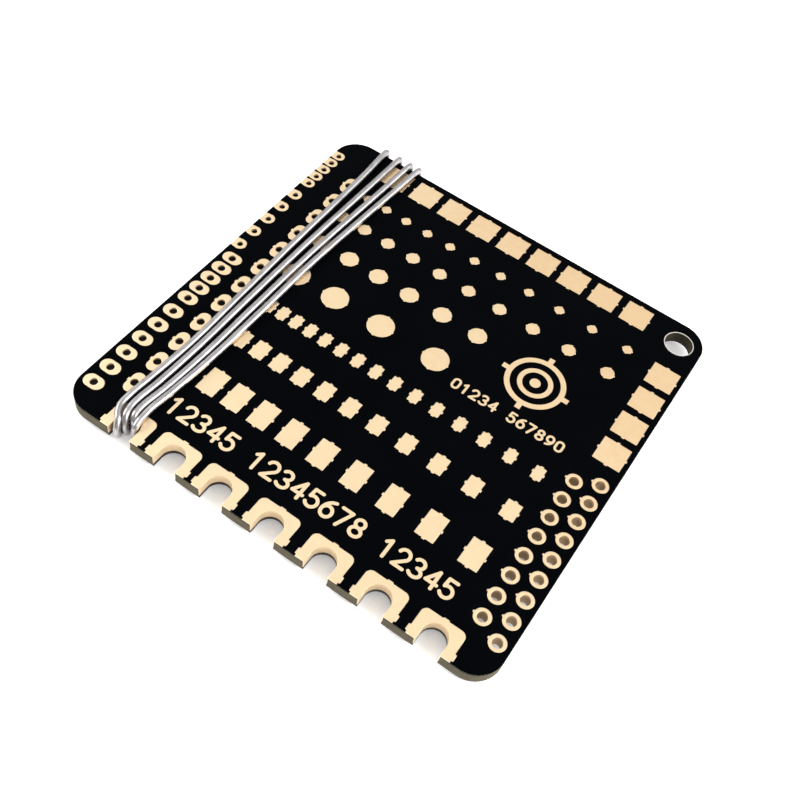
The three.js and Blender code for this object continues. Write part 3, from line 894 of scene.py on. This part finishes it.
def gold_finish(name, inside_metal=1.0, inside_shade=0.0, shade_height=0.0):
    """Pale gold over nickel: satin, finely grained, with faint clouds of straw and pink and a painted
    highlight towards the front left.

    The plating inside a hole may be duller and is painted browner with depth, and its lowest part may be
    painted near black: both painted shade.
    """
    finish = Finish(name, Specular_IOR_Level=0.2)
    height = finish.height()
    cloud = finish.noise(finish.millimetres(), 0.09, 1.0)
    mottle = finish.noise(finish.millimetres(), 1.3, 3.0, 0.6)
    grain = finish.noise(finish.millimetres(), 16.0, 3.0, 0.7)
    place = finish.millimetres()
    # Painted highlight: run makes the gold paler towards the front left.
    run = finish.node("VectorMath", {"operation": "DOT_PRODUCT"}, place, HIGHLIGHT_WAY, pick="Value")
    golds = [(0.1, (0.82, 0.60, 0.355)), (0.45, (0.87, 0.675, 0.43)), (0.9, (0.89, 0.70, 0.455))]
    tone = finish.node("ValToRGB", {"stops": golds}, run + cloud * 0.5 + mottle * 0.5)
    shine = finish.ramp(height, CORE_TOP - 0.08, CORE_TOP, inside_metal, 1.0)
    if inside_shade:
        # Painted shade: the plating is painted browner deeper in a hole.
        depth_shade = finish.ramp(height, CORE_TOP - 0.5, CORE_TOP - 0.02, inside_shade, 0.0)
        tone = finish.mixed(depth_shade, tone, (0.24, 0.155, 0.075))
    if shade_height:
        # Painted shade: the lowest plating is painted near black, with a ragged edge.
        low_shade = finish.ramp(height + mottle * 0.12, shade_height, shade_height + 0.1, 1.0, 0.0)
        tone = finish.mixed(low_shade, tone, (0.012, 0.008, 0.005))
        shine = shine - low_shade * 0.9
    finish.surface(
        Base_Color=tone,
        Metallic=shine,
        Roughness=0.34 + mottle * 0.1 + grain * 0.08,
        Normal=finish.bumps(grain * 0.7 + mottle * 0.3, 0.35, 0.000006),
    )
    return finish.material


pale_gold = gold_finish("pale_gold")
for node, lands in pad_rows.items():
    row = Solid()
    for land in lands:
        row.plate(land.outline, [], CORE_TOP, LAND_TOP, rim=LAND_RIM)
    build(node.replace("pads", "lands"), row, pale_gold, [node])

# The marks are part of the same copper and stand in for no CAD node, so they just ride the board.
for name, shapes in MARKS.items():
    mark = Solid()
    for outers, holes in shapes:
        for outline in outers:
            mark.plate(outline, holes, CORE_TOP, LAND_TOP)
    build(name, mark, pale_gold, [])

# ---- Gold: eyelets ----------------------------------------------------------------------------------
# Drilled holes plated right through: a land on each face and a thin barrel between them, all one layer
# of copper and gold. The two right-hand columns take 2.54 mm headers.
BARREL_WALL = 0.06
HOLE_RIM = 0.02
UNDER_TOP = CORE_BOTTOM
UNDER_BOTTOM = 0.004
UNDER_RIM = 0.01

# All but the top of each small barrel is painted near black, and every barrel is painted browner with
# depth: painted shade in the holes.
SHADE_TOP = CORE_TOP - 0.16
barrel_gold = gold_finish("barrel_gold", inside_metal=0.8, inside_shade=0.75)
dark_barrel = gold_finish("dark_barrel", inside_metal=0.8, inside_shade=0.6, shade_height=SHADE_TOP)


def eyelet(solid, land, x, y, radius, ring):
    """A land on top, a barrel and a round land underneath."""
    solid.plate(land.outline, [land.hole], CORE_TOP, LAND_TOP, rim=HOLE_RIM)
    solid.plate(disc(x, y, radius + BARREL_WALL, 32), [disc(x, y, radius, 32)], UNDER_TOP, CORE_TOP)
    under = disc(x, y, radius + ring, 40)
    solid.plate(under, [disc(x, y, radius, 32)], UNDER_BOTTOM, UNDER_TOP, under_rim=UNDER_RIM)


for nodes, lands, places, radius, ring, finish in (
    (HEADER_NODES, header_lands, header_places, HEADER_HOLE_RADIUS, HEADER_RING, barrel_gold),
    (OVAL_NODES, oval_lands, oval_places, OVAL_HOLE[1], OVAL_RING, dark_barrel),
    (EDGE_NODES, edge_lands, edge_places, EDGE_HOLE[1], EDGE_RING, dark_barrel),
):
    for node, land, (x, y) in zip(nodes, lands, places):
        single = Solid()
        eyelet(single, land, x, y, radius, ring)
        build(node.replace("eyelet", "barrel"), single, finish, [node])
inner_column = Solid()
for land, (x, y) in zip(inner_lands, inner_places):
    eyelet(inner_column, land, x, y, INNER_HOLE[1], OVAL_RING)
build("inner_oval_barrels", inner_column, dark_barrel, ["inner_oval_eyelets"])

# ---- Gold: plated notches ---------------------------------------------------------------------------
# Slots routed into the front edge and plated like the holes, with a land round each on both faces. They
# are for practising on castellated edges and for parking the wire.
# The notch linings are painted browner with depth and near black in their lowest half millimetre: painted
# shade.
notch_gold = gold_finish("notch_gold", inside_metal=0.75, inside_shade=0.16, shade_height=0.5)
for node, x in zip(NOTCH_NODES, notch_centres):
    notch = Solid()
    notch.plate(notch_land(x), [], CORE_TOP, LAND_TOP, rim=LAND_RIM)
    front = box_outline(x - 5, x + 5, -5, 0.012)
    cut_away = [slot_outline(x, NOTCH_RADIUS), front]
    lining = joined([slot_outline(x, NOTCH_RADIUS + BARREL_WALL)], cut_away)[0][0]
    notch.plate(lining, [], UNDER_TOP, CORE_TOP)
    under = joined([slot_outline(x, NOTCH_RADIUS + NOTCH_RING)], cut_away)[0][0]
    notch.plate(under, [], UNDER_BOTTOM, UNDER_TOP, under_rim=UNDER_RIM)
    build(node.replace("plated_notch", "notch_plating"), notch, notch_gold, [node])

# ---- Solder wire ------------------------------------------------------------------------------------
# Tin solder wire, 0.75 mm thick, drawn through a die and wound by hand: four turns that come up over the
# back edge, run forward along the face, drop through the first notch and go back underneath. It is soft,
# so it holds its bends, and its two ends are nipped off under the board.
WIRE_RADIUS = 0.368  # a hair under the nominal 0.375, to stay within its CAD node
STANDOFF = 0.43  # from a face to the wire's middle
HIGHEST = 0.45  # and where the first turn lifts most, before its notch
WIRE_SIDES = 28
BEND_STEPS = 12
STRAIGHT_STEP = 0.45
NIP_LENGTH = 0.5
THINNEST = 0.008  # the share of its radius that the draw varies by
NOTCH_DROP = (0.7, 0.25)  # shares of the thickness where the wire passes down a notch
WIRE_START = (4.25, 41)
FACE_STATIONS = (44.7, 38.7, 29.7, 19.8, 12.8, 6.8, 3.9)
TURNS = (
    {
        "back": 4.9,
        "across": (5.14, 5.28, 5.43, 5.71, 5.87, 5.63, 5.47),
        "dip": ((5.55, 2.6, 0.43), (5.95, 1.7, 0.45), (6.45, 1.1, 0.3)),
        "notch": (6.75, 0.5),
        "rise": ((6.5, 0.8, -0.32), (6.15, 1.6, -0.43), (5.95, 2.8, -0.43)),
        "underside": ((5.95, 4), (6.3, 26)),
    },
    {
        "back": 6.8,
        "across": (6.78, 6.69, 6.59, 6.66, 6.76, 6.63, 6.43),
        "dip": ((6.5, 2.8, 0.43), (6.75, 1.9, 0.36)),
        "notch": (7.05, 1.3),
        "rise": ((7.0, 1.5, -0.32), (6.85, 2.3, -0.43)),
        "underside": ((6.75, 4), (7.5, 26)),
    },
    {
        "back": 8.38,
        "across": (8.26, 8.05, 7.78, 7.78, 7.82, 7.6, 7.32),
        "dip": ((7.34, 2.9, 0.43), (7.45, 2.4, 0.41), (7.62, 2.02, 0.0)),
        "notch": (7.65, 1.93),
        "rise": ((7.66, 2.1, -0.22), (7.68, 2.6, -0.43)),
        "underside": ((7.6, 4), (8.5, 26)),
    },
    {
        "back": 9.62,
        "across": (9.42, 9.13, 8.75, 8.74, 8.7, 8.37, 8.13),
        "dip": ((8.17, 2.9, 0.43), (8.22, 2.1, 0.43), (8.27, 1.5, 0.12)),
        "notch": (8.2, 1.35),
        "rise": ((8.3, 1.35, -0.25), (8.4, 2.0, -0.43)),
        "underside": ((8.5, 4), (9.6, 8.2), (13.5, 13), (26, 19.6), (40.6, 26)),
    },
)


def wire_route():
    """The points that the wire's middle passes through, in board millimetres."""
    route = [Vector((*WIRE_START, -STANDOFF))]
    for turn in TURNS:
        for angle in (0, 45, 90):
            out, up = math.sin(math.radians(angle)), math.cos(math.radians(angle))
            route.append(Vector((turn["back"], SIDE + STANDOFF * out, -STANDOFF * up)))
        for angle in (0, 45, 90):
            out, up = math.cos(math.radians(angle)), math.sin(math.radians(angle))
            route.append(Vector((turn["back"], SIDE + STANDOFF * out, FACE + STANDOFF * up)))
        route += [Vector((x, y, FACE + STANDOFF)) for x, y in zip(turn["across"], FACE_STATIONS)]
        route += [Vector((x, y, FACE + up)) for x, y, up in turn["dip"]]
        route += [Vector((*turn["notch"], FACE * share)) for share in NOTCH_DROP]
        route += [Vector(point) for point in turn["rise"]]
        route += [Vector((x, y, -STANDOFF)) for x, y in turn["underside"]]
    return route


def smooth_line(route):
    """A centripetal curve through the route, with short steps in the bends."""
    points = [2 * route[0] - route[1], *route, 2 * route[-1] - route[-2]]
    line = []
    for a, b, c, d in zip(points, points[1:], points[2:], points[3:]):
        gaps = [(q - p).length ** 0.5 for p, q in ((a, b), (b, c), (c, d))]
        start = ((b - a) / gaps[0] - (c - a) / (gaps[0] + gaps[1]) + (c - b) / gaps[1]) * gaps[1]
        end = ((c - b) / gaps[1] - (d - b) / (gaps[1] + gaps[2]) + (d - c) / gaps[2]) * gaps[1]
        steps = max(BEND_STEPS, math.ceil((c - b).length / STRAIGHT_STEP))
        for i in range(steps):
            t = i / steps
            here = (2 * t**3 - 3 * t**2 + 1) * b + (t**3 - 2 * t**2 + t) * start
            here += (3 * t**2 - 2 * t**3) * c + (t**3 - t**2) * end
            here.y = min(here.y, SIDE + STANDOFF)
            here.z = max(-STANDOFF, min(here.z, FACE + HIGHEST))
            line.append(here)
    line.append(route[-1])
    return line


def solder_finish():
    """Drawn tin solder: bright satin metal with fine lines along the draw and a few dull patches."""
    finish = Finish("drawn_solder", Metallic=1.0)
    along = finish.node("Attribute", {"attribute_name": "drawn"}, pick="Vector")
    lines = finish.noise(along, 3.0, 3.0, 0.6)
    scuffs = finish.noise(finish.millimetres(), 1.1, 3.0, 0.65)
    greys = [(0.3, (0.25, 0.24, 0.245)), (0.5, (0.41, 0.395, 0.40)), (0.7, (0.56, 0.545, 0.55))]
    tone = finish.node("ValToRGB", {"stops": greys}, lines * 0.65 + scuffs * 0.35)
    finish.surface(
        Base_Color=tone,
        Roughness=0.27 + lines * 0.08 + scuffs * 0.1,
        Normal=finish.bumps(lines, 0.25, 0.000006),
    )
    return finish.material


centre_line = smooth_line(wire_route())
total = sum((b - a).length for a, b in zip(centre_line, centre_line[1:]))
wire = Solid()
wire_drawn = []
side = Vector((1, 0, 0))
rings = []
travelled = 0.0
thickness_draw = random.Random(7)
wave = [thickness_draw.uniform(0, 6.28) for _ in range(3)]
for i, here in enumerate(centre_line):
    ahead = centre_line[min(i + 1, len(centre_line) - 1)] - centre_line[max(i - 1, 0)]
    ahead.normalize()
    side = (side - ahead * side.dot(ahead)).normalized()
    lift = ahead.cross(side)
    if i:
        travelled += (here - centre_line[i - 1]).length
    nip = min(1.0, min(travelled, total - travelled) / NIP_LENGTH)
    flat = 0.25 + 0.75 * math.sin(nip * math.pi / 2)
    swell = math.sin(travelled * 0.9 + wave[0]) * math.sin(travelled * 0.23 + wave[1])
    radius = WIRE_RADIUS * (1 - THINNEST + THINNEST * swell)
    ring = []
    for k in range(WIRE_SIDES):
        turn = 2 * math.pi * k / WIRE_SIDES
        point = here + side * (radius * math.cos(turn)) + lift * (radius * flat * math.sin(turn))
        ring.append(len(wire.points))
        wire.points.append(tuple(point))
        wire_drawn.append((travelled * 0.12, math.cos(turn) * 1.1, math.sin(turn) * 1.1))
    rings.append(ring)
for lower, upper in zip(rings, rings[1:]):
    wire.wall(lower, upper, True)
wire.faces.append(tuple(rings[0][::-1]))
wire.faces.append(tuple(rings[-1]))
wound_wire = build("wound_solder_wire", wire, solder_finish(), ["solder_wire"], sharp=60)
drawn = wound_wire.data.attributes.new("drawn", "FLOAT_VECTOR", "POINT")
drawn.data.foreach_set("vector", [part for point in wire_drawn for part in point])
